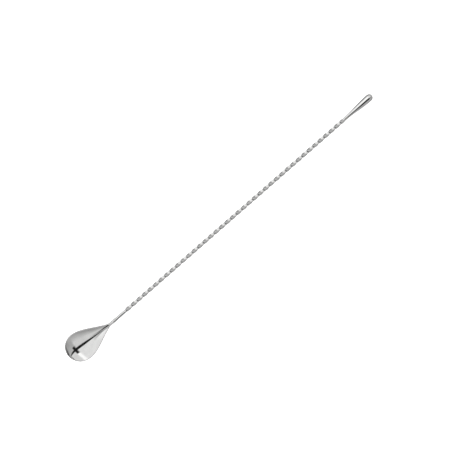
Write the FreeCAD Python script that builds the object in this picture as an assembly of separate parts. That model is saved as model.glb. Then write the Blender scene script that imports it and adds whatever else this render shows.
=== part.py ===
"""Bar spoon: a pressed bowl, a twisted square stem and a turned teardrop weight.

Millimetres. The pieces are modelled in the stem's frame, with X along the stem's axis from the
bowl's nose (x = 0) to the weight's end, and Z up out of the bowl. The whole spoon is then laid
on its back, so that the bowl's underside and the weight both rest on z = 0, with the origin
under the middle of its box.
"""
import FreeCAD, Part
import math
import os
from FreeCAD import Vector

# Driving dimensions
OVERALL_LENGTH = 335.0
BOWL_WIDTH = 26.0            # over the rim
BOWL_DEPTH = 4.4             # rim to the inside of the keel, at its deepest
BOWL_THICKNESS = 1.0
INNER_HEEL = 43.2            # nose to the heel's end of the hollow
NOSE_RIM_DROP = 13.0         # the nose's rim lies this far below the stem's axis
HEEL_RIM_RISE = 0.3          # the heel's rim lies this far above it
NECK_DIAMETER = 2.9
RIB_COVER = 0.1              # wall left between the hollow and the rib under it
ROOT_END = 49.5              # where the bowl's round root meets the stem
WELD_WIDTH = 1.6
WELD_LAND_RADIUS = 0.6       # the ends butt inside this radius, and the groove opens outside it
WELD_CROWN = 0.08
SQUARE_FLATS = 2.8
SQUARE_CORNER_RADIUS = 0.22
TWIST_START = 60.2
TWIST_PITCH = 24.4           # right-handed
TWIST_TURNS = 10
TWIST_PHASE = 62.5           # degrees from the Y axis to a flat, where the twist starts
CORNER_FADE = 4.0            # length over which the corners run out into the round shanks
WEIGHT_LENGTH = 28.6
WEIGHT_DIAMETER = 6.2
WEIGHT_NOSE_LENGTH = 3.4     # widest point to the end
SHANK_DIAMETER = 2.8         # the stem just before the weight
SPIGOT_DIAMETER = 1.7
SPIGOT_LENGTH = 8.0
BRAZE_FILM = 0.1
BRAZE_COLLAR_LENGTH = 0.45
BRAZE_COLLAR_STEP = 0.08

# The bowl's form, as shares of the hollow's length
HEEL_ROUNDING = 0.08         # how blunt the hollow's corner is at the heel
STRAIGHT_FROM = 0.74         # where the rim's sides have straightened
NOSE_STEEPNESS = 0.2         # smaller is a steeper wall behind the nose
RIM_BEND = 0.6               # larger is a steeper start of the rim's fall at the heel

# Sizes worked out from them
SIDE_INSET = 0.6 * BOWL_THICKNESS        # how far the sloping wall reaches past the hollow
NOSE_INSET = 0.7 * BOWL_THICKNESS        # and the steeper wall at the nose
INNER_HALF = BOWL_WIDTH / 2.0 - SIDE_INSET
MIDDLE_X = 0.3 * INNER_HEEL              # the widest point
NECK_RADIUS = NECK_DIAMETER / 2.0
NECK_LEVEL = INNER_HEEL + 3.9            # the neck is straight and round from here
SHANK_RADIUS = SHANK_DIAMETER / 2.0
SPIGOT_RADIUS = SPIGOT_DIAMETER / 2.0
SOCKET_RADIUS = SPIGOT_RADIUS + BRAZE_FILM
TWIST_END = TWIST_START + TWIST_TURNS * TWIST_PITCH
WEIGHT_START = OVERALL_LENGTH - WEIGHT_LENGTH
CORNER_REACH = (SQUARE_FLATS / 2.0 - SQUARE_CORNER_RADIUS) * math.sqrt(2.0) + SQUARE_CORNER_RADIUS
CORE_RADIUS = SQUARE_FLATS / 2.0 - 0.02  # a round core that stays inside the square
RIB_STATIONS = ((28.0, 0.4), (32.0, 0.5), (36.0, 0.6), (40.0, 0.8))  # x and radius under the keel
NECK_BEND = (43.9, -0.75, 1.3)           # x, height and radius where the neck bends up to the axis
SWELL_START, SWELL_FULL = 8.0, 14.0      # the weight's swelling, measured from its mouth

# How finely the bowl's surfaces are laid out
RING_POINTS = 64
RING_LEVELS = (0.15, 0.3, 0.45, 0.6, 0.75, 0.88)
AT_RIM = 1.0
PAST_RIM = 1.06                          # the hollow goes on past the rim, so the rim cuts it cleanly
SMALL_STEP = 0.001
LID_HEIGHT = 4.0                         # the bowl's two bodies are closed above the rim here
X_AXIS, Y_AXIS = Vector(1, 0, 0), Vector(0, 1, 0)


def plan(share):
    """The rim's half-width along the hollow: round at the nose, straight towards the heel."""
    room = share * (1.0 - share) * (1.0 - share + HEEL_ROUNDING)
    return math.sqrt(max(room, 0.0) / (1.0 + (share / STRAIGHT_FROM) ** 3))


def dish(share):
    """The keel's depth along the hollow: steep behind the nose, a long rise to the heel."""
    return share * (1.0 - share) / (share + NOSE_STEEPNESS)


PLAN_PEAK = max(plan(step / 1000.0) for step in range(1001))
DISH_PEAK = max(dish(step / 1000.0) for step in range(1001))


def share_of(x):
    """How far x lies along the hollow, from 0 at the nose to 1 at the heel."""
    return (x - NOSE_INSET) / (INNER_HEEL - NOSE_INSET)


def rim_height(x):
    """Height of the rim above the stem's axis: it falls from the neck, and eases towards the nose."""
    if x > INNER_HEEL:
        share = (x - INNER_HEEL) / (NECK_LEVEL - INNER_HEEL)
        return HEEL_RIM_RISE + share * (NECK_RADIUS - HEEL_RIM_RISE)
    along = 1.0 - share_of(x)
    fall = along * (1.0 + RIM_BEND * (1.0 - along))
    return HEEL_RIM_RISE - (NOSE_RIM_DROP + HEEL_RIM_RISE) * fall


def inside_height(x, y):
    """Height of the bowl's inside: a parabola across, hung from the rim down to the keel."""
    share = share_of(x)
    keel = BOWL_DEPTH * dish(share) / DISH_PEAK
    opening = (1.0 - share + HEEL_ROUNDING) * (share + NOSE_STEEPNESS)
    straightness = 1.0 + (share / STRAIGHT_FROM) ** 3
    curl = BOWL_DEPTH * straightness / (DISH_PEAK * opening) * (PLAN_PEAK * y / INNER_HALF) ** 2
    return rim_height(x) - keel + curl


def inside_point(level, angle):
    """A point of the bowl's inside: level 0 is its middle and 1 its rim, angle 0 is the heel."""
    share = (1.0 + math.cos(angle)) / 2.0
    rim_x = NOSE_INSET + share * (INNER_HEEL - NOSE_INSET)
    rim_y = math.copysign(INNER_HALF * plan(share) / PLAN_PEAK, math.sin(angle))
    x = MIDDLE_X + level * (rim_x - MIDDLE_X)
    return Vector(x, level * rim_y, inside_height(x, level * rim_y))


def wall_point(level, angle, outwards):
    """The point of the bowl's wall that lies outwards, square to the inside, from its point."""
    point = inside_point(level, angle)
    here = inside_height(point.x, point.y)
    slope_x = (inside_height(point.x + SMALL_STEP, point.y) - here) / SMALL_STEP
    slope_y = (inside_height(point.x, point.y + SMALL_STEP) - here) / SMALL_STEP
    normal = Vector(-slope_x, -slope_y, 1.0)
    normal.normalize()
    return point - normal * outwards


def closed_curve(points):
    """A smooth closed wire through the points."""
    curve = Part.BSplineCurve()
    curve.interpolate(points, True)
    return Part.Wire([curve.toShape()])


def bowl_body(outwards, last_level):
    """The body inside one of the wall's two surfaces, carried straight up from its last level."""
    angles = [2.0 * math.pi * index / RING_POINTS for index in range(RING_POINTS)]
    rings = [closed_curve([wall_point(level, angle, outwards) for angle in angles])
             for level in RING_LEVELS + (last_level,)]
    middle = Part.Vertex(wall_point(SMALL_STEP, 0.0, outwards))
    skin = Part.makeLoft([middle] + rings, False, False, False, 5)
    last_ring = [wall_point(last_level, angle, outwards) for angle in angles]
    lid_edge = closed_curve([Vector(point.x, point.y, LID_HEIGHT) for point in last_ring])
    collar = Part.makeLoft([rings[-1], lid_edge], False, True)
    body = Part.makeCompound(skin.Faces + collar.Faces + [Part.Face(lid_edge)])
    body.sewShape()
    return Part.Solid(body.Shells[0])


def space_above_rim():
    """Everything over the rim's S line, as one block."""
    stations = (-2.0, 0.0, 3.0, 7.0, 11.0, 16.0, 21.0, 26.0, 31.0, 36.0, INNER_HEEL)
    side = -BOWL_WIDTH
    line = Part.BSplineCurve()
    line.interpolate([Vector(x, side, rim_height(max(x, 0.0))) for x in stations])
    corners = [Vector(INNER_HEEL, side, rim_height(INNER_HEEL)),
               Vector(NECK_LEVEL, side, rim_height(NECK_LEVEL)),
               Vector(NECK_LEVEL, side, 2.0 * LID_HEIGHT),
               Vector(stations[0], side, 2.0 * LID_HEIGHT),
               Vector(stations[0], side, rim_height(0.0))]
    outline = Part.Wire([line.toShape()] + Part.makePolygon(corners).Edges)
    return Part.Face(outline).extrude(Vector(0, 2.0 * BOWL_WIDTH, 0))


def revolved(points):
    """A solid turned about the X axis from (x, radius) points."""
    outline = Part.makePolygon([Vector(x, 0, radius) for x, radius in points + points[:1]])
    return Part.Face(outline).revolve(Vector(0, 0, 0), X_AXIS, 360)


def root():
    """The bowl's root: a rib that leaves the keel, thickens and runs out as a round stub."""
    under_keel = [(x, inside_height(x, 0.0) - radius - RIB_COVER, radius)
                  for x, radius in RIB_STATIONS]
    rib = under_keel + [NECK_BEND, (NECK_LEVEL, 0.0, NECK_RADIUS)]
    sections = [Part.Wire([Part.makeCircle(radius, Vector(x, 0, z), X_AXIS)]) for x, z, radius in rib]
    stub = revolved([(NECK_LEVEL, 0.0), (ROOT_END, 0.0), (ROOT_END, WELD_LAND_RADIUS),
                     (ROOT_END - WELD_WIDTH / 2.0, NECK_RADIUS), (NECK_LEVEL, NECK_RADIUS)])
    return Part.makeLoft(sections, True).fuse(stub)


def spoon_bowl():
    """The pressed bowl with its root."""
    whole = bowl_body(BOWL_THICKNESS, AT_RIM).fuse(root())
    return whole.cut(bowl_body(0.0, PAST_RIM)).cut(space_above_rim()).Solids[0]


def rounded_square(x):
    """The stem's square section with its small corner radii, across the axis at x."""
    half = SQUARE_FLATS / 2.0
    flat = half - SQUARE_CORNER_RADIUS
    middle = flat + SQUARE_CORNER_RADIUS * math.sqrt(0.5)
    edges = []
    for quarter in range(4):
        side = [Vector(x, half, -flat), Vector(x, half, flat), Vector(x, middle, middle),
                Vector(x, flat, half)]
        spin = FreeCAD.Rotation(X_AXIS, 90.0 * quarter)
        start, corner, top, end = [spin.multVec(point) for point in side]
        edges += [Part.makeLine(start, corner), Part.Arc(corner, top, end).toShape()]
    return Part.Wire(edges)


def twisted_bar():
    """The square section carried along the axis, turning right-handed."""
    length = TWIST_TURNS * TWIST_PITCH
    guide = Part.makeHelix(TWIST_PITCH, length, 2.0 * SQUARE_FLATS, 0, False)
    guide.rotate(Vector(0, 0, 0), Y_AXIS, 90)
    spine = Part.Wire([Part.makeLine(Vector(0, 0, 0), Vector(length, 0, 0))])
    sweep = Part.BRepOffsetAPI.MakePipeShell(spine)
    sweep.setAuxiliarySpine(Part.Wire(guide.Edges), True, 0)
    sweep.add(rounded_square(0.0))
    sweep.build()
    sweep.makeSolid()
    bar = sweep.shape()
    bar.rotate(Vector(0, 0, 0), X_AXIS, TWIST_PHASE)
    bar.translate(Vector(TWIST_START, 0, 0))
    return bar


def twisted_stem():
    """The stem: a chamfered round shank, the twist, and a shank with a spigot for the weight."""
    full = CORNER_REACH + 0.1
    envelope = revolved([(TWIST_START, 0.0), (TWIST_START, CORE_RADIUS),
                         (TWIST_START + CORNER_FADE, full), (TWIST_END - CORNER_FADE, full),
                         (TWIST_END, CORE_RADIUS), (TWIST_END, 0.0)])
    front = revolved([(ROOT_END, 0.0), (ROOT_END, WELD_LAND_RADIUS),
                      (ROOT_END + WELD_WIDTH / 2.0, NECK_RADIUS), (TWIST_START, NECK_RADIUS),
                      (TWIST_START + CORNER_FADE, CORE_RADIUS), (TWIST_START + CORNER_FADE, 0.0)])
    shoulder = WEIGHT_START - BRAZE_FILM
    spigot_end = shoulder + SPIGOT_LENGTH
    back = revolved([(TWIST_END - CORNER_FADE, 0.0), (TWIST_END - CORNER_FADE, CORE_RADIUS),
                     (TWIST_END, SHANK_RADIUS), (shoulder, SHANK_RADIUS),
                     (shoulder, SPIGOT_RADIUS), (spigot_end, SPIGOT_RADIUS), (spigot_end, 0.0)])
    return twisted_bar().common(envelope).fuse([front, back]).Solids[0]


def heel_weld():
    """The ring of weld metal in the groove between the root and the stem."""
    half = WELD_WIDTH / 2.0
    foot = Vector(ROOT_END, 0, WELD_LAND_RADIUS)
    left = Vector(ROOT_END - half, 0, NECK_RADIUS)
    crown = Vector(ROOT_END, 0, NECK_RADIUS + WELD_CROWN)
    right = Vector(ROOT_END + half, 0, NECK_RADIUS)
    outline = Part.Wire([Part.makeLine(foot, left), Part.Arc(left, crown, right).toShape(),
                         Part.makeLine(right, foot)])
    return Part.Face(outline).revolve(Vector(0, 0, 0), X_AXIS, 360)


def teardrop_weight():
    """The turned weight: a long swelling cone, a round nose, and a blind socket in its mouth."""
    mouth = SHANK_RADIUS + BRAZE_COLLAR_STEP
    radius = WEIGHT_DIAMETER / 2.0
    widest = OVERALL_LENGTH - WEIGHT_NOSE_LENGTH
    swell = Part.BezierCurve()
    swell.setPoles([Vector(WEIGHT_START, 0, mouth), Vector(WEIGHT_START + SWELL_START, 0, mouth),
                    Vector(WEIGHT_START + SWELL_FULL, 0, radius), Vector(widest, 0, radius)])
    nose = Part.Ellipse(Vector(OVERALL_LENGTH, 0, 0), Vector(widest, 0, radius), Vector(widest, 0, 0))
    nose_arc = Part.Arc(nose, 0.0, math.pi / 2.0).toShape()
    socket_end = WEIGHT_START + SPIGOT_LENGTH
    inside = Part.makePolygon([Vector(OVERALL_LENGTH, 0, 0), Vector(socket_end, 0, 0),
                               Vector(socket_end, 0, SOCKET_RADIUS),
                               Vector(WEIGHT_START, 0, SOCKET_RADIUS), Vector(WEIGHT_START, 0, mouth)])
    outline = Part.Wire(Part.__sortEdges__([swell.toShape(), nose_arc] + inside.Edges))
    return Part.Face(outline).revolve(Vector(0, 0, 0), X_AXIS, 360)


def weight_braze():
    """The braze: a film round the spigot and behind the shoulder, with a collar outside."""
    shoulder = WEIGHT_START - BRAZE_FILM
    spigot_end = shoulder + SPIGOT_LENGTH
    return revolved([(shoulder, SPIGOT_RADIUS), (shoulder, SHANK_RADIUS),
                     (WEIGHT_START - BRAZE_COLLAR_LENGTH, SHANK_RADIUS),
                     (WEIGHT_START, SHANK_RADIUS + BRAZE_COLLAR_STEP), (WEIGHT_START, SOCKET_RADIUS),
                     (spigot_end + BRAZE_FILM, SOCKET_RADIUS), (spigot_end + BRAZE_FILM, 0.0),
                     (spigot_end, 0.0), (spigot_end, SPIGOT_RADIUS)])


def turned(shape, degrees):
    """A copy turned about the Y axis, which takes the weight's end down."""
    copy = shape.copy()
    copy.rotate(Vector(0, 0, 0), Y_AXIS, degrees)
    return copy


def lowest(shape):
    """The height of a shape's lowest point."""
    return shape.optimalBoundingBox(False).ZMin


def rest_angle(bowl, weight):
    """The tilt at which the bowl's underside and the weight touch one level surface."""
    low, high = 0.0, 6.0
    for _ in range(14):
        middle = (low + high) / 2.0
        if lowest(turned(weight, middle)) > lowest(turned(bowl, middle)):
            low = middle
        else:
            high = middle
    return (low + high) / 2.0


def main():
    """Build every piece, lay the spoon down and write one STEP file per piece."""
    pieces = {"spoon_bowl": spoon_bowl(), "twisted_stem": twisted_stem(), "heel_weld": heel_weld(),
              "teardrop_weight": teardrop_weight(), "weight_braze": weight_braze()}
    tilt = rest_angle(pieces["spoon_bowl"], pieces["teardrop_weight"])
    laid = {name: turned(shape, tilt) for name, shape in pieces.items()}
    box = Part.makeCompound(list(laid.values())).optimalBoundingBox(False)
    to_origin = Vector(-(box.XMin + box.XMax) / 2.0, -(box.YMin + box.YMax) / 2.0, -box.ZMin)
    os.makedirs("parts", exist_ok=True)
    for name, shape in laid.items():
        shape.translate(to_origin)
        shape.exportStep(os.path.join("parts", name + ".step"))
        print(name, shape.ShapeType, "valid", shape.isValid(), "volume %.1f" % shape.Volume)
    print("tilt %.2f degrees, box %.1f x %.1f x %.1f" % (tilt, box.XLength, box.YLength, box.ZLength))


main()
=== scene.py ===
"""The looks of the bar spoon: polished stainless steel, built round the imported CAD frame.

Each visible piece is worked out in millimetres in the stem's own frame, with X along the stem's
axis from the bowl's nose, and Z up out of the bowl. place() then lays it where the CAD pieces lie.
"""
import math

import bmesh
import bpy
import numpy as np
from mathutils import Matrix, Vector


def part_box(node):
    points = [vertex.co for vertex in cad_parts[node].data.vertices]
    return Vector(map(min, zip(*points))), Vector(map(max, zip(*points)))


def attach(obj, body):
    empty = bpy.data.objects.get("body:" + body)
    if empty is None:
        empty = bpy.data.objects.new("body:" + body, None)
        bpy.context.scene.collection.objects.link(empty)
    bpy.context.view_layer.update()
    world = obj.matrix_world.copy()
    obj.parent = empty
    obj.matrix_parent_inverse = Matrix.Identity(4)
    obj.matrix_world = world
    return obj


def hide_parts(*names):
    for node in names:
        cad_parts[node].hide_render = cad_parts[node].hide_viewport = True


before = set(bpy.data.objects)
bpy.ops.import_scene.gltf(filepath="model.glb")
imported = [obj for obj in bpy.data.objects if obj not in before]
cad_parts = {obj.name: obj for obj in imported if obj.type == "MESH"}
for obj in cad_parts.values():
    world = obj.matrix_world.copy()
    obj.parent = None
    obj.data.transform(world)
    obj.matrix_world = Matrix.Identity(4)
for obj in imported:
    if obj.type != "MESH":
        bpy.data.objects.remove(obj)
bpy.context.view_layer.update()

# Driving dimensions, in millimetres, as in the CAD
MM = 0.001
OVERALL_LENGTH = 335.0
BOWL_WIDTH = 26.0
BOWL_DEPTH = 4.4
WALL = 1.0
NOSE_INSET = 0.7 * WALL
SIDE_INSET = 0.6 * WALL
INNER_HEEL = 43.2
NOSE_RIM_DROP = 13.0
HEEL_RIM_RISE = 0.3
HEEL_ROUNDING = 0.08
STRAIGHT_FROM = 0.74
NOSE_STEEPNESS = 0.2
RIM_BEND = 0.6
EDGE_SOFTNESS = 0.12          # how widely the rim's edges are rounded
RIM_TUCK = 0.06              # the rim stops this much short of the CAD's
MESH_STEP = 0.2               # size of the bowl's mesh faces
NECK_RADIUS = 1.45
ROOT_END = 49.5
GROOVE_HALF = 0.8
GROOVE_LAND = 0.6
BEAD_CROWN = 0.07
SQUARE_HALF = 1.4
SQUARE_SHARPNESS = 14.0      # power of the squared circle that gives the rounded corners
TWIST_START = 60.2
TWIST_PITCH = 24.4
TWIST_TURNS = 10
TWIST_PHASE = 62.5
TWIST_END = TWIST_START + TWIST_TURNS * TWIST_PITCH
CORNER_FADE = 4.0
WEIGHT_LENGTH = 28.6
WEIGHT_START = OVERALL_LENGTH - WEIGHT_LENGTH
SWELL_START, SWELL_FULL = 8.0, 14.0   # the weight's swelling, measured from its mouth
MOUTH_EDGE = 1.36
WEIGHT_RADIUS = 3.1
WEIGHT_NOSE = 3.4
SHANK_RADIUS = 1.4
SPIGOT_RADIUS = 0.85
SPIGOT_LENGTH = 8.0
FILM = 0.1
COLLAR_LENGTH = 0.45
COLLAR_STEP = 0.08

INNER_HALF = BOWL_WIDTH / 2.0 - SIDE_INSET
MIDDLE_X = 0.3 * INNER_HEEL
SHARP_ANGLE = math.radians(40.0)      # edges sharper than this stay crisp
SMALL_STEP = 0.01
HOLLOW_LENGTH = INNER_HEEL - NOSE_INSET


# ---------------------------------------------------------------- where the spoon lies

weld_low, weld_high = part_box("heel_weld")
weld_centre = (weld_low + weld_high) / 2.0
rise = weld_centre.z / MM - WEIGHT_RADIUS
REST_TILT = math.asin(rise / (OVERALL_LENGTH - WEIGHT_NOSE - ROOT_END))
TO_ROW = (Matrix.Translation(weld_centre) @ Matrix.Rotation(REST_TILT, 4, "Y")
          @ Matrix.Scale(MM, 4) @ Matrix.Translation((-ROOT_END, 0.0, 0.0)))


def settle(name, mesh, node):
    """Put a finished mesh in the scene in place of a CAD node."""
    piece = bpy.data.objects.new(name, mesh)
    bpy.context.scene.collection.objects.link(piece)
    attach(piece, "root")
    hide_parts(node)


def place(name, points, faces, node, material):
    """Make a piece of the spoon from millimetre points in the stem's frame, in a CAD node's place."""
    mesh = bpy.data.meshes.new(name)
    mesh.from_pydata([tuple(p) for p in points], [], [tuple(f) for f in faces])
    mesh.transform(TO_ROW)
    tidy = bmesh.new()
    tidy.from_mesh(mesh)
    bmesh.ops.remove_doubles(tidy, verts=tidy.verts, dist=1e-7)
    bmesh.ops.recalc_face_normals(tidy, faces=tidy.faces)
    tidy.to_mesh(mesh)
    tidy.free()
    mesh.shade_smooth()
    mesh.set_sharp_from_angle(angle=SHARP_ANGLE)
    mesh.materials.append(material)
    settle(name, mesh, node)


# ---------------------------------------------------------------- shapes turned or swept along the axis

def grid_faces(rows, columns, closed_rows=False):
    """Quads over a grid of points whose rows are rings round the axis."""
    faces = []
    for i in range(rows if closed_rows else rows - 1):
        for j in range(columns):
            after = (j + 1) % columns
            below = (i + 1) % rows
            faces.append((i * columns + j, i * columns + after, below * columns + after, below * columns + j))
    return faces


def turned(profile, columns=96):
    """Points and faces of a closed profile of (x, radius) pairs turned about the axis."""
    angles = np.linspace(0.0, 2.0 * math.pi, columns, endpoint=False)
    points = [(x, radius * math.cos(a), radius * math.sin(a)) for x, radius in profile for a in angles]
    return points, grid_faces(len(profile), columns, closed_rows=True)


def stem_radius(x):
    """The round envelope that the square bar's corners fade into at each end of the twist."""
    inwards = min(x - TWIST_START, TWIST_END - x)
    share = min(max(inwards / CORNER_FADE, 0.0), 1.0)
    reach = SQUARE_HALF * 2.0 ** (0.5 - 1.0 / SQUARE_SHARPNESS)
    return SHANK_RADIUS + (reach + 0.02 - SHANK_RADIUS) * share * (2.0 - share)


def stem_turn(x):
    """Angle of a flat's normal from the Y axis: it grows with X, which is a right-hand twist."""
    along = min(max(x, TWIST_START), TWIST_END) - TWIST_START
    return math.radians(TWIST_PHASE + 360.0 * along / TWIST_PITCH)


def stem_points():
    """Rings of the stem from the weld groove, along the twisted square bar, to the spigot's end."""
    quarter = np.concatenate([np.linspace(0.0, 34.0, 5), np.linspace(38.0, 52.0, 8),
                              np.linspace(56.0, 82.0, 4)])
    angles = np.radians(np.concatenate([quarter + 90.0 * turn for turn in range(4)]))
    square = SQUARE_HALF * (np.abs(np.cos(angles)) ** SQUARE_SHARPNESS
                            + np.abs(np.sin(angles)) ** SQUARE_SHARPNESS) ** (-1.0 / SQUARE_SHARPNESS)
    end = WEIGHT_START + SPIGOT_LENGTH
    rings = [(ROOT_END, 0.0), (ROOT_END, GROOVE_LAND), (ROOT_END + GROOVE_HALF, SHANK_RADIUS)]
    rings += [(x, None) for x in np.arange(ROOT_END + GROOVE_HALF + 0.2, WEIGHT_START, 0.4)]
    rings += [(WEIGHT_START, SHANK_RADIUS), (WEIGHT_START, SPIGOT_RADIUS)]
    rings += [(end - 0.2, SPIGOT_RADIUS), (end, SPIGOT_RADIUS - 0.2), (end, 0.0)]
    points = []
    for x, radius in rings:
        turn = stem_turn(x)
        limit = stem_radius(x)
        if radius is None:
            along = (np.minimum(square, limit) if TWIST_START < x < TWIST_END
                     else np.full(len(angles), SHANK_RADIUS))
        else:
            along = np.full(len(angles), radius)
        points += [(x, r * math.cos(a + turn), r * math.sin(a + turn)) for r, a in zip(along, angles)]
    return points, grid_faces(len(rings), len(angles))


def weight_profile():
    """The teardrop weight: a slender swell, a rounded tip, and the socket for the spigot."""
    mouth = SHANK_RADIUS + COLLAR_STEP
    poles = [(0.0, mouth), (SWELL_START, mouth), (SWELL_FULL, WEIGHT_RADIUS),
             (WEIGHT_LENGTH - WEIGHT_NOSE, WEIGHT_RADIUS)]
    profile = [(WEIGHT_START, MOUTH_EDGE)]
    for t in np.linspace(0.0, 1.0, 60):
        weights = [(1 - t) ** 3, 3 * t * (1 - t) ** 2, 3 * t * t * (1 - t), t ** 3]
        x, radius = (sum(w * pole[i] for w, pole in zip(weights, poles)) for i in (0, 1))
        profile.append((WEIGHT_START + x, radius))
    for angle in np.linspace(0.0, 90.0, 25)[1:]:
        lean = math.radians(angle)
        x = OVERALL_LENGTH - WEIGHT_NOSE * (1.0 - math.sin(lean))
        profile.append((x, WEIGHT_RADIUS * math.cos(lean)))
    socket = SPIGOT_RADIUS + FILM
    bottom = WEIGHT_START + SPIGOT_LENGTH
    profile += [(bottom, 0.0), (bottom, socket), (WEIGHT_START, socket)]
    return profile


def bead_profile():
    """The weld's V-groove filling with a softly crowned top."""
    profile = [(ROOT_END, GROOVE_LAND)]
    for share in np.linspace(-1.0, 1.0, 17):
        flush = NECK_RADIUS + (SHANK_RADIUS - NECK_RADIUS) * (share + 1.0) / 2.0
        profile.append((ROOT_END + GROOVE_HALF * share, flush + BEAD_CROWN * (1.0 - share ** 2)))
    return profile


def braze_profile():
    """The braze's thin film round the spigot, and the hollow fillet that shows at the weight's mouth."""
    socket = SPIGOT_RADIUS + FILM
    profile = [(WEIGHT_START + SPIGOT_LENGTH, SPIGOT_RADIUS), (WEIGHT_START, SPIGOT_RADIUS)]
    profile += [(WEIGHT_START, SHANK_RADIUS), (WEIGHT_START - COLLAR_LENGTH, SHANK_RADIUS)]
    for share in np.linspace(0.0, 1.0, 9)[1:]:
        x = WEIGHT_START - COLLAR_LENGTH * (1.0 - share)
        profile.append((x, SHANK_RADIUS + COLLAR_STEP * share ** 2))
    profile += [(WEIGHT_START, socket), (WEIGHT_START + SPIGOT_LENGTH, socket)]
    return profile


# ---------------------------------------------------------------- the bowl and its neck

def plan_square(share):
    """The square of the hollow's half width, in its own units; negative outside the hollow's ends."""
    to_heel = np.maximum(1.0 - share, 0.0)
    room = share * (1.0 - share) * (to_heel + HEEL_ROUNDING)
    return room / (1.0 + np.maximum(share / STRAIGHT_FROM, 0.0) ** 3)


def dish(share):
    """How deep the keel lies along the hollow, in its own units."""
    return share * (1.0 - share) / (share + NOSE_STEEPNESS)


SHARES = np.linspace(0.0, 1.0, 1001)
PLAN_PEAK = math.sqrt(plan_square(SHARES).max())
DISH_PEAK = dish(SHARES).max()


def share_of(x):
    """How far x lies along the hollow, from 0 at the nose to 1 at the heel."""
    return (x - NOSE_INSET) / HOLLOW_LENGTH


def rim_height(x):
    """The rim falls away towards the nose."""
    along = np.maximum(1.0 - share_of(x), 0.0)
    fall = along * (1.0 + RIM_BEND * (1.0 - along))
    return HEEL_RIM_RISE - (NOSE_RIM_DROP + HEEL_RIM_RISE) * fall


def inside_height(x, y):
    """Height of the hollow's inside surface, carried on smoothly past its rim."""
    share = np.maximum(share_of(x), -0.06)
    keel = BOWL_DEPTH * dish(share) / DISH_PEAK
    opening = (np.maximum(1.0 - share, 0.0) + HEEL_ROUNDING) * (share + NOSE_STEEPNESS)
    straightness = 1.0 + np.maximum(share / STRAIGHT_FROM, 0.0) ** 3
    curl = BOWL_DEPTH * straightness / (DISH_PEAK * opening) * (PLAN_PEAK * y / INNER_HALF) ** 2
    return rim_height(x) - keel + curl


def slopes(x, y, step=1e-3):
    """First and second derivatives of the inside surface."""
    here = inside_height(x, y)
    east, west = inside_height(x + step, y), inside_height(x - step, y)
    north, south = inside_height(x, y + step), inside_height(x, y - step)
    corner = inside_height(x + step, y + step) + inside_height(x - step, y - step)
    hx, hy = (east - west) / (2 * step), (north - south) / (2 * step)
    hxx, hyy = (east + west - 2 * here) / step ** 2, (north + south - 2 * here) / step ** 2
    hxy = (corner - east - west - north - south + 2 * here) / (2 * step ** 2)
    return here, hx, hy, hxx, hyy, hxy


def foot_of(points):
    """The nearest place on the inside surface to each point, by damped Newton steps."""
    x, y, z = points.T
    u, v = x.copy(), y.copy()
    for _ in range(12):
        h, hx, hy, hxx, hyy, hxy = slopes(u, v)
        over = h - z
        gu, gv = u - x + over * hx, v - y + over * hy
        below = np.maximum(over, 0.0)
        a = 1.0 + hx ** 2 + below * np.maximum(hxx, 0.0)
        c = 1.0 + hy ** 2 + below * np.maximum(hyy, 0.0)
        b = hx * hy + below * hxy
        b = np.clip(b, -0.95 * np.sqrt(a * c), 0.95 * np.sqrt(a * c))
        det = a * c - b * b
        du, dv = (c * gu - b * gv) / det, (a * gv - b * gu) / det
        size = np.maximum(np.hypot(du, dv), 1e-9)
        shorten = np.minimum(1.0, 1.5 / size)
        u, v = u - du * shorten, v - dv * shorten
    h, hx, hy = slopes(u, v)[:3]
    length = np.sqrt(1.0 + hx ** 2 + hy ** 2)
    signed = (-hx * (x - u) - hy * (y - v) + (z - h)) / length
    return u, v, hx, hy, length, signed


def past_rim(x, y, step=1e-3):
    """Distance across the plan from the hollow's outline, positive outside it."""
    scale = (INNER_HALF / PLAN_PEAK) ** 2
    value = y ** 2 - scale * plan_square(share_of(x))
    along = -scale * (plan_square(share_of(x + step)) - plan_square(share_of(x - step))) / (2 * step)
    return value / np.sqrt(np.maximum(along ** 2 + 4.0 * y ** 2, 1e-6))


def over_rim(x, z, step=1e-3):
    """Distance above the rim's flat land."""
    lean = (rim_height(x + step) - rim_height(x - step)) / (2 * step)
    return (z - rim_height(x)) / np.sqrt(1.0 + lean ** 2)


def smooth_union(a, b, reach):
    """The lower of two distances, with a soft fillet where they meet."""
    near = np.maximum(reach - np.abs(a - b), 0.0) / reach
    return np.minimum(a, b) - near ** 2 * reach / 4.0


# The neck's centre line: X, height, radius and the softness of its fillet with the bowl
NECK_STATIONS = [
    (24.0, None, 0.30, 0.10), (30.0, None, 0.42, 0.15), (35.0, None, 0.60, 0.35), (39.0, None, 0.95, 0.8),
    (43.6, -0.78, 1.30, 1.0), (47.1, 0.0, NECK_RADIUS, 1.0), (52.0, 0.0, NECK_RADIUS, 1.0)]
UNDER_KEEL = 0.12


def neck_lines():
    """The neck's stations with the heights under the keel worked out, as plain numbers."""
    rows = []
    for x, height, radius, softness in NECK_STATIONS:
        if height is None:
            height = float(inside_height(np.float64(x), 0.0)) - UNDER_KEEL - radius
        rows.append((x, height, radius, softness))
    return np.array(rows, dtype=float)


def smooth_through(stations, values, x):
    """A smooth curve through the stations' values, by cubic pieces with matching slopes."""
    slope = np.gradient(values, stations)
    index = np.clip(np.searchsorted(stations, x) - 1, 0, len(stations) - 2)
    wide = stations[index + 1] - stations[index]
    t = np.clip((x - stations[index]) / wide, 0.0, 1.0)
    h00, h10 = (1 + 2 * t) * (1 - t) ** 2, t * (1 - t) ** 2
    h01, h11 = t * t * (3 - 2 * t), t * t * (t - 1)
    return (h00 * values[index] + h10 * wide * slope[index]
            + h01 * values[index + 1] + h11 * wide * slope[index + 1])


NECK = neck_lines()


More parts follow.
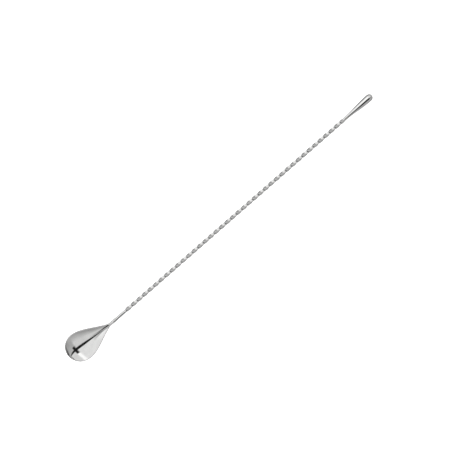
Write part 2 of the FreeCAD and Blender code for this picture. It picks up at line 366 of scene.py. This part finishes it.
def neck_at(x):
    """The neck's centre height, radius and softness at x, never past the round stem's own."""
    centre, radius, softness = (smooth_through(NECK[:, 0], NECK[:, column], x) for column in (1, 2, 3))
    return np.minimum(centre, 0.0), np.minimum(radius, NECK_RADIUS), softness


def bowl_distance(points):
    """How far each point lies outside the bowl and neck; zero on their surface."""
    x, y, z = points.T
    u, v, hx, hy, length, signed = foot_of(points)
    wall = np.abs(signed + WALL / 2.0) - WALL / 2.0
    for limit in (past_rim(x, y) - SIDE_INSET + RIM_TUCK, over_rim(x, z)):
        wall = -smooth_union(-wall, -limit, EDGE_SOFTNESS)
    centre, radius, softness = neck_at(x)
    lean = (neck_at(x + SMALL_STEP)[0] - centre) / SMALL_STEP
    tube = np.hypot(y, (z - centre) / np.sqrt(1.0 + lean ** 2)) - radius
    tube = np.maximum(tube, (NECK[0, 0] - x))
    whole = smooth_union(wall, tube, softness)
    away = np.hypot(y, z)
    slant = np.hypot(GROOVE_HALF, NECK_RADIUS - GROOVE_LAND)
    into_groove = (x - (ROOT_END - GROOVE_HALF)) * (NECK_RADIUS - GROOVE_LAND)
    cone = (into_groove + (away - NECK_RADIUS) * GROOVE_HALF) / slant
    return np.maximum(np.maximum(whole, cone), x - ROOT_END)


def direction_of(points, step=2e-3):
    """The gradient of bowl_distance at each point."""
    columns = []
    for axis in range(3):
        shift = np.zeros(3)
        shift[axis] = step
        columns.append((bowl_distance(points + shift) - bowl_distance(points - shift)) / (2 * step))
    return np.stack(columns, axis=1)


def onto_surface(points, rounds=3):
    """Move the points onto the bowl's surface."""
    for _ in range(rounds):
        gradient = direction_of(points)
        steep = np.maximum((gradient ** 2).sum(axis=1), 0.25)
        step = bowl_distance(points) / steep
        points = points - gradient * np.clip(step, -0.3, 0.3)[:, None]
    return points


def rough_wall():
    """Points and faces of a coarse closed shell near the bowl's wall."""
    angles = np.linspace(0.0, 2 * math.pi, 96, endpoint=False)
    levels = np.linspace(0.0, 1.0, 20)[1:]
    share = (1.0 + np.cos(angles)) / 2.0
    rim_x = NOSE_INSET + share * HOLLOW_LENGTH
    half = INNER_HALF * np.sqrt(np.maximum(plan_square(share), 0.0)) / PLAN_PEAK
    rim_y = np.sign(np.sin(angles)) * half
    skins = []
    for outwards in (0.0, WALL):
        rings = []
        for level in levels:
            x = MIDDLE_X + level * (rim_x - MIDDLE_X)
            y = level * rim_y
            z, hx, hy = slopes(x, y)[:3]
            length = np.sqrt(1 + hx ** 2 + hy ** 2)
            rings.append(np.stack([x + hx / length * outwards, y + hy / length * outwards,
                                   z - outwards / length], axis=1))
        skins.append(rings)
    rows = skins[0] + skins[1][::-1]
    faces = grid_faces(len(rows), len(angles))
    faces += end_faces(len(rows), len(angles))
    return np.concatenate(rows), faces


def rough_neck():
    """Points and faces of a coarse closed tube along the neck."""
    around = np.linspace(0.0, 2 * math.pi, 24, endpoint=False)
    rings = []
    for x in np.arange(38.0, ROOT_END + 0.01, 0.5):
        centre, radius, _ = (float(value) for value in neck_at(np.float64(x)))
        if x > ROOT_END - GROOVE_HALF:
            radius = NECK_RADIUS - (x - ROOT_END + GROOVE_HALF)
        ring = [np.full(24, x), radius * np.cos(around), centre + radius * np.sin(around)]
        rings.append(np.stack(ring, axis=1))
    faces = grid_faces(len(rings), 24) + end_faces(len(rings), 24)
    return np.concatenate(rings), faces


def end_faces(rows, columns):
    """The two flat faces that close a tube of rings."""
    last = (rows - 1) * columns
    return [tuple(range(columns)), tuple(last + i for i in range(columns))[::-1]]


def rough_bowl():
    """A coarse mesh of bowl and neck, which only gives the fine mesh its start."""
    wall, wall_faces = rough_wall()
    neck, neck_faces = rough_neck()
    moved = [tuple(i + len(wall) for i in face) for face in neck_faces]
    return np.concatenate([wall, neck]), wall_faces + moved


def remeshed(points, faces, voxel):
    """An even closed mesh round the given one."""
    mesh = bpy.data.meshes.new("rough")
    mesh.from_pydata([tuple(p) for p in points], [], faces)
    holder = bpy.data.objects.new("rough", mesh)
    bpy.context.scene.collection.objects.link(holder)
    modifier = holder.modifiers.new("even", "REMESH")
    modifier.mode = "VOXEL"
    modifier.voxel_size = voxel
    bpy.context.view_layer.update()
    even = bpy.data.meshes.new_from_object(holder.evaluated_get(bpy.context.evaluated_depsgraph_get()))
    bpy.data.objects.remove(holder)
    bpy.data.meshes.remove(mesh)
    return even


def relaxed(points, edges):
    """Each point moved towards the middle of its neighbours."""
    total = np.zeros_like(points)
    count = np.zeros(len(points))
    for first, second in ((edges[:, 0], edges[:, 1]), (edges[:, 1], edges[:, 0])):
        np.add.at(total, first, points[second])
        np.add.at(count, first, 1.0)
    return points * 0.4 + 0.6 * total / count[:, None]


def bowl_piece(name, node, material):
    """The bowl with its rolled rim and the neck that grows out of its heel."""
    points, faces = rough_bowl()
    mesh = remeshed(points, faces, MESH_STEP)
    at = np.zeros(len(mesh.vertices) * 3)
    mesh.vertices.foreach_get("co", at)
    at = onto_surface(at.reshape(-1, 3), 4)
    pairs = np.zeros(len(mesh.edges) * 2, dtype=np.int32)
    mesh.edges.foreach_get("vertices", pairs)
    pairs = pairs.reshape(-1, 2)
    for _ in range(4):
        at = onto_surface(relaxed(at, pairs), 2)
    facing = direction_of(at)
    facing /= np.maximum(np.linalg.norm(facing, axis=1), 1e-9)[:, None]
    mesh.vertices.foreach_set("co", at.ravel())
    mesh.transform(TO_ROW)
    turn = np.array(TO_ROW.to_3x3().normalized())
    mesh.shade_smooth()
    mesh.normals_split_custom_set_from_vertices((facing @ turn.T).tolist())
    mesh.materials.clear()
    mesh.materials.append(material)
    mesh.name = name
    settle(name, mesh, node)


# ---------------------------------------------------------------- materials

def steel(name, colour, roughness, grain, grain_stretch, grain_depth):
    """Polished stainless steel: soft cloudiness in its tone and shine, and fine polishing lines."""
    material = bpy.data.materials.new(name)
    material.use_nodes = True
    nodes, links = material.node_tree.nodes, material.node_tree.links
    shader = nodes["Principled BSDF"]
    shader.inputs["Metallic"].default_value = 1.0
    position = nodes.new("ShaderNodeTexCoord")

    clouds = nodes.new("ShaderNodeTexNoise")
    clouds.inputs["Scale"].default_value = 140.0
    clouds.inputs["Detail"].default_value = 4.0
    links.new(position.outputs["Object"], clouds.inputs["Vector"])

    tone = nodes.new("ShaderNodeValToRGB")
    tone.color_ramp.elements[0].position = 0.3
    tone.color_ramp.elements[0].color = (*[c * 0.94 for c in colour], 1.0)
    tone.color_ramp.elements[1].position = 0.7
    tone.color_ramp.elements[1].color = (*[c * 1.04 for c in colour], 1.0)
    links.new(clouds.outputs["Fac"], tone.inputs["Fac"])
    links.new(tone.outputs["Color"], shader.inputs["Base Color"])

    stretch = nodes.new("ShaderNodeMapping")
    stretch.inputs["Scale"].default_value = grain_stretch
    links.new(position.outputs["Object"], stretch.inputs["Vector"])
    lines = nodes.new("ShaderNodeTexNoise")
    lines.inputs["Scale"].default_value = grain
    lines.inputs["Detail"].default_value = 6.0
    lines.inputs["Roughness"].default_value = 0.65
    links.new(stretch.outputs["Vector"], lines.inputs["Vector"])

    shine = nodes.new("ShaderNodeMapRange")
    shine.inputs["From Min"].default_value = 0.3
    shine.inputs["From Max"].default_value = 0.7
    shine.inputs["To Min"].default_value = roughness * 0.75
    shine.inputs["To Max"].default_value = roughness * 1.3
    links.new(lines.outputs["Fac"], shine.inputs["Value"])
    links.new(shine.outputs["Result"], shader.inputs["Roughness"])

    bump = nodes.new("ShaderNodeBump")
    bump.inputs["Strength"].default_value = 0.35
    bump.inputs["Distance"].default_value = grain_depth
    links.new(lines.outputs["Fac"], bump.inputs["Height"])
    links.new(bump.outputs["Normal"], shader.inputs["Normal"])
    return material


STEEL = (0.50, 0.50, 0.495)
bowl_steel = steel("bowl_mirror_steel", STEEL, 0.07, 900.0, (0.08, 1.0, 1.0), 2.0e-7)
stem_steel = steel("stem_bright_steel", STEEL, 0.10, 1500.0, (0.12, 1.0, 1.0), 3.0e-7)
weight_steel = steel("weight_mirror_steel", STEEL, 0.07, 1100.0, (0.06, 1.0, 1.0), 2.0e-7)
weld_steel = steel("weld_dressed_steel", (0.46, 0.46, 0.45), 0.18, 2600.0, (1.0, 0.3, 0.3), 6.0e-7)
braze_metal = steel("braze_silver", (0.52, 0.51, 0.47), 0.20, 2400.0, (1.0, 0.6, 0.6), 5.0e-7)

bowl_piece("polished_bowl", "spoon_bowl", bowl_steel)
place("polished_stem", *stem_points(), "twisted_stem", stem_steel)
place("polished_weight", *turned(weight_profile()), "teardrop_weight", weight_steel)
place("dressed_weld", *turned(bead_profile()), "heel_weld", weld_steel)
place("braze_fillet", *turned(braze_profile()), "weight_braze", braze_metal)


# ---------------------------------------------------------------- floor, light and camera

def floor():
    """A plain pale sheet under the spoon."""
    mesh = bpy.data.meshes.new("floor")
    sheet = bmesh.new()
    bmesh.ops.create_grid(sheet, x_segments=8, y_segments=8, size=6.0)
    sheet.to_mesh(mesh)
    sheet.free()
    material = bpy.data.materials.new("pale_floor")
    material.use_nodes = True
    nodes, links = material.node_tree.nodes, material.node_tree.links
    shader = nodes["Principled BSDF"]
    shader.inputs["Roughness"].default_value = 0.9
    mottle = nodes.new("ShaderNodeTexNoise")
    mottle.inputs["Scale"].default_value = 60.0
    tone = nodes.new("ShaderNodeValToRGB")
    tone.color_ramp.elements[0].color = (0.88, 0.88, 0.88, 1.0)
    tone.color_ramp.elements[1].color = (0.91, 0.91, 0.91, 1.0)
    links.new(mottle.outputs["Fac"], tone.inputs["Fac"])
    links.new(tone.outputs["Color"], shader.inputs["Base Color"])
    shader.inputs["Emission Color"].default_value = (1.0, 1.0, 1.0, 1.0)
    shader.inputs["Emission Strength"].default_value = 0.75
    dim = nodes.new("ShaderNodeBsdfDiffuse")
    dim.inputs["Color"].default_value = (0.6, 0.6, 0.6, 1.0)
    seen = nodes.new("ShaderNodeLightPath")
    blend = nodes.new("ShaderNodeMixShader")
    links.new(seen.outputs["Is Camera Ray"], blend.inputs["Fac"])
    links.new(dim.outputs["BSDF"], blend.inputs[1])
    links.new(shader.outputs["BSDF"], blend.inputs[2])
    links.new(blend.outputs["Shader"], nodes["Material Output"].inputs["Surface"])
    mesh.materials.append(material)
    piece = bpy.data.objects.new("floor", mesh)
    bpy.context.scene.collection.objects.link(piece)
    piece.location.z = -0.0002


ROLL = math.radians(12.0)          # the spoon is seen from a little to the +Y side of straight above
LEAN = math.radians(-2.5)          # and from a little towards the bowl's end
PICTURE_TURN = math.radians(41.2)  # how far the stem rises across the picture
DISTANCE = 3.2
PICTURE_WIDTH = 0.3795             # metres across the picture at the stem
AIM_STATION = 182.5
AIM_RIGHT = 0.006726               # metres from the aim to the picture's middle
AIM_UP = 0.009164


def view_axes():
    """The camera's right, up and backward directions, and the stem's own direction in the picture."""
    turn = TO_ROW.to_3x3().normalized()
    along, across, upward = (turn @ Vector(axis) for axis in ((1, 0, 0), (0, 1, 0), (0, 0, 1)))
    back = math.cos(LEAN) * (math.cos(ROLL) * upward + math.sin(ROLL) * across) + math.sin(LEAN) * along
    flat = (along - along.dot(back) * back).normalized()
    side = back.cross(flat)
    right = math.cos(PICTURE_TURN) * flat - math.sin(PICTURE_TURN) * side
    up = math.sin(PICTURE_TURN) * flat + math.cos(PICTURE_TURN) * side
    return right, up, back, flat, side


def camera():
    """A long lens, from nearly straight above the spoon."""
    right, up, back, _, _ = view_axes()
    aim = TO_ROW @ Vector((AIM_STATION, 0.0, 0.0)) - AIM_RIGHT * right - AIM_UP * up
    data = bpy.data.cameras.new("camera")
    data.sensor_width = 36.0
    data.lens = 36.0 * DISTANCE / PICTURE_WIDTH
    data.clip_start, data.clip_end = 0.01, 100.0
    holder = bpy.data.objects.new("camera", data)
    holder.matrix_world = Matrix((right, up, back)).transposed().to_4x4()
    holder.location = aim + DISTANCE * back
    bpy.context.scene.collection.objects.link(holder)
    bpy.context.scene.camera = holder


# Brightness of the studio by the angle round the stem, in degrees from the camera's side: it falls
# towards the lamp side and rises towards the dark flag. There is one list for light from past the
# bowl's end, one for light from half that way, one for light square to the stem, and one for light
# from the weight's end.
PAST_BOWL = [(-180, 0.6), (-80, 0.7), (-62, 1.7), (-14, 1.9), (-8, 0.02), (50, 0.02), (56, 1.2), (100, 0.6),
             (180, 0.45)]
BOWL_SIDE = [(-180, 0.6), (-80, 0.7), (-62, 1.4), (0, 1.5), (13, 1.5), (15, 0.02), (28, 0.02), (30, 1.2),
             (60, 1.2), (100, 0.6), (180, 0.45)]
SQUARE_ON = [(-180, 0.6), (-72, 0.6), (-62, 1.9), (-7, 2.0), (-2, 0.02), (42, 0.02), (47, 0.75),
             (107, 0.78), (180, 0.6)]
WEIGHT_SIDE = [(-180, 0.6), (-80, 0.7), (-62, 1.3), (13, 1.3), (15, 0.02), (27, 0.02), (29, 0.9), (100, 0.6),
               (180, 0.45)]
# Where, along the stem's direction, one list gives way to the next
PAST_BOWL_ENDS = (-0.94, -0.76)
BOWL_SIDE_ENDS = (-0.2, -0.06)
WEIGHT_SIDE_STARTS = (0.12, 0.25)
BRIGHTEST = 2.0
PALE = 1.0


def studio_light():
    """Soft light from one long lamp beside the camera, a dark flag next to it and a dimmer far side."""
    _, _, back, flat, side = view_axes()
    world = bpy.data.worlds.new("studio")
    bpy.context.scene.world = world
    world.use_nodes = True
    nodes, links = world.node_tree.nodes, world.node_tree.links
    shader = nodes["Background"]
    where = nodes.new("ShaderNodeTexCoord")

    def part(direction):
        dot = nodes.new("ShaderNodeVectorMath")
        dot.operation = "DOT_PRODUCT"
        dot.inputs[1].default_value = direction
        links.new(where.outputs["Generated"], dot.inputs[0])
        return dot.outputs["Value"]

    def spread(value, low, high):
        share = nodes.new("ShaderNodeMapRange")
        share.inputs["From Min"].default_value = low
        share.inputs["From Max"].default_value = high
        links.new(value, share.inputs["Value"])
        return share.outputs["Result"]

    def brightness_ramp(stops, value):
        ramp = nodes.new("ShaderNodeValToRGB")
        elements = ramp.color_ramp.elements
        elements.remove(elements[-1])
        for i, (degrees, brightness) in enumerate(stops):
            position = (degrees + 180.0) / 360.0
            element = elements[0] if i == 0 else elements.new(position)
            element.position = position
            element.color = (*[brightness / BRIGHTEST] * 3, 1.0)
        links.new(value, ramp.inputs["Fac"])
        return ramp.outputs["Color"]

    def mixed(factor, first, second):
        mix = nodes.new("ShaderNodeMix")
        mix.data_type = "RGBA"
        links.new(factor, mix.inputs[0])
        for name, value in (("A", first), ("B", second)):
            socket = [s for s in mix.inputs if s.name == name and s.type == "RGBA"][0]
            if isinstance(value, tuple):
                socket.default_value = value
            else:
                links.new(value, socket)
        return [s for s in mix.outputs if s.type == "RGBA"][0]

    round_stem = nodes.new("ShaderNodeMath")
    round_stem.operation = "ARCTAN2"
    links.new(part(-side), round_stem.inputs[0])
    links.new(part(back), round_stem.inputs[1])
    angle = spread(round_stem.outputs["Value"], -math.pi, math.pi)
    endwise = part(flat)
    light = mixed(spread(endwise, *PAST_BOWL_ENDS), brightness_ramp(PAST_BOWL, angle),
                  brightness_ramp(BOWL_SIDE, angle))
    light = mixed(spread(endwise, *BOWL_SIDE_ENDS), light, brightness_ramp(SQUARE_ON, angle))
    light = mixed(spread(endwise, *WEIGHT_SIDE_STARTS), light, brightness_ramp(WEIGHT_SIDE, angle))
    seen = nodes.new("ShaderNodeLightPath")
    pale = (*[PALE / BRIGHTEST] * 3, 1.0)
    links.new(mixed(seen.outputs["Is Camera Ray"], light, pale), shader.inputs["Color"])
    shader.inputs["Strength"].default_value = BRIGHTEST


floor()
camera()
studio_light()
bpy.context.scene.view_settings.view_transform = "Standard"
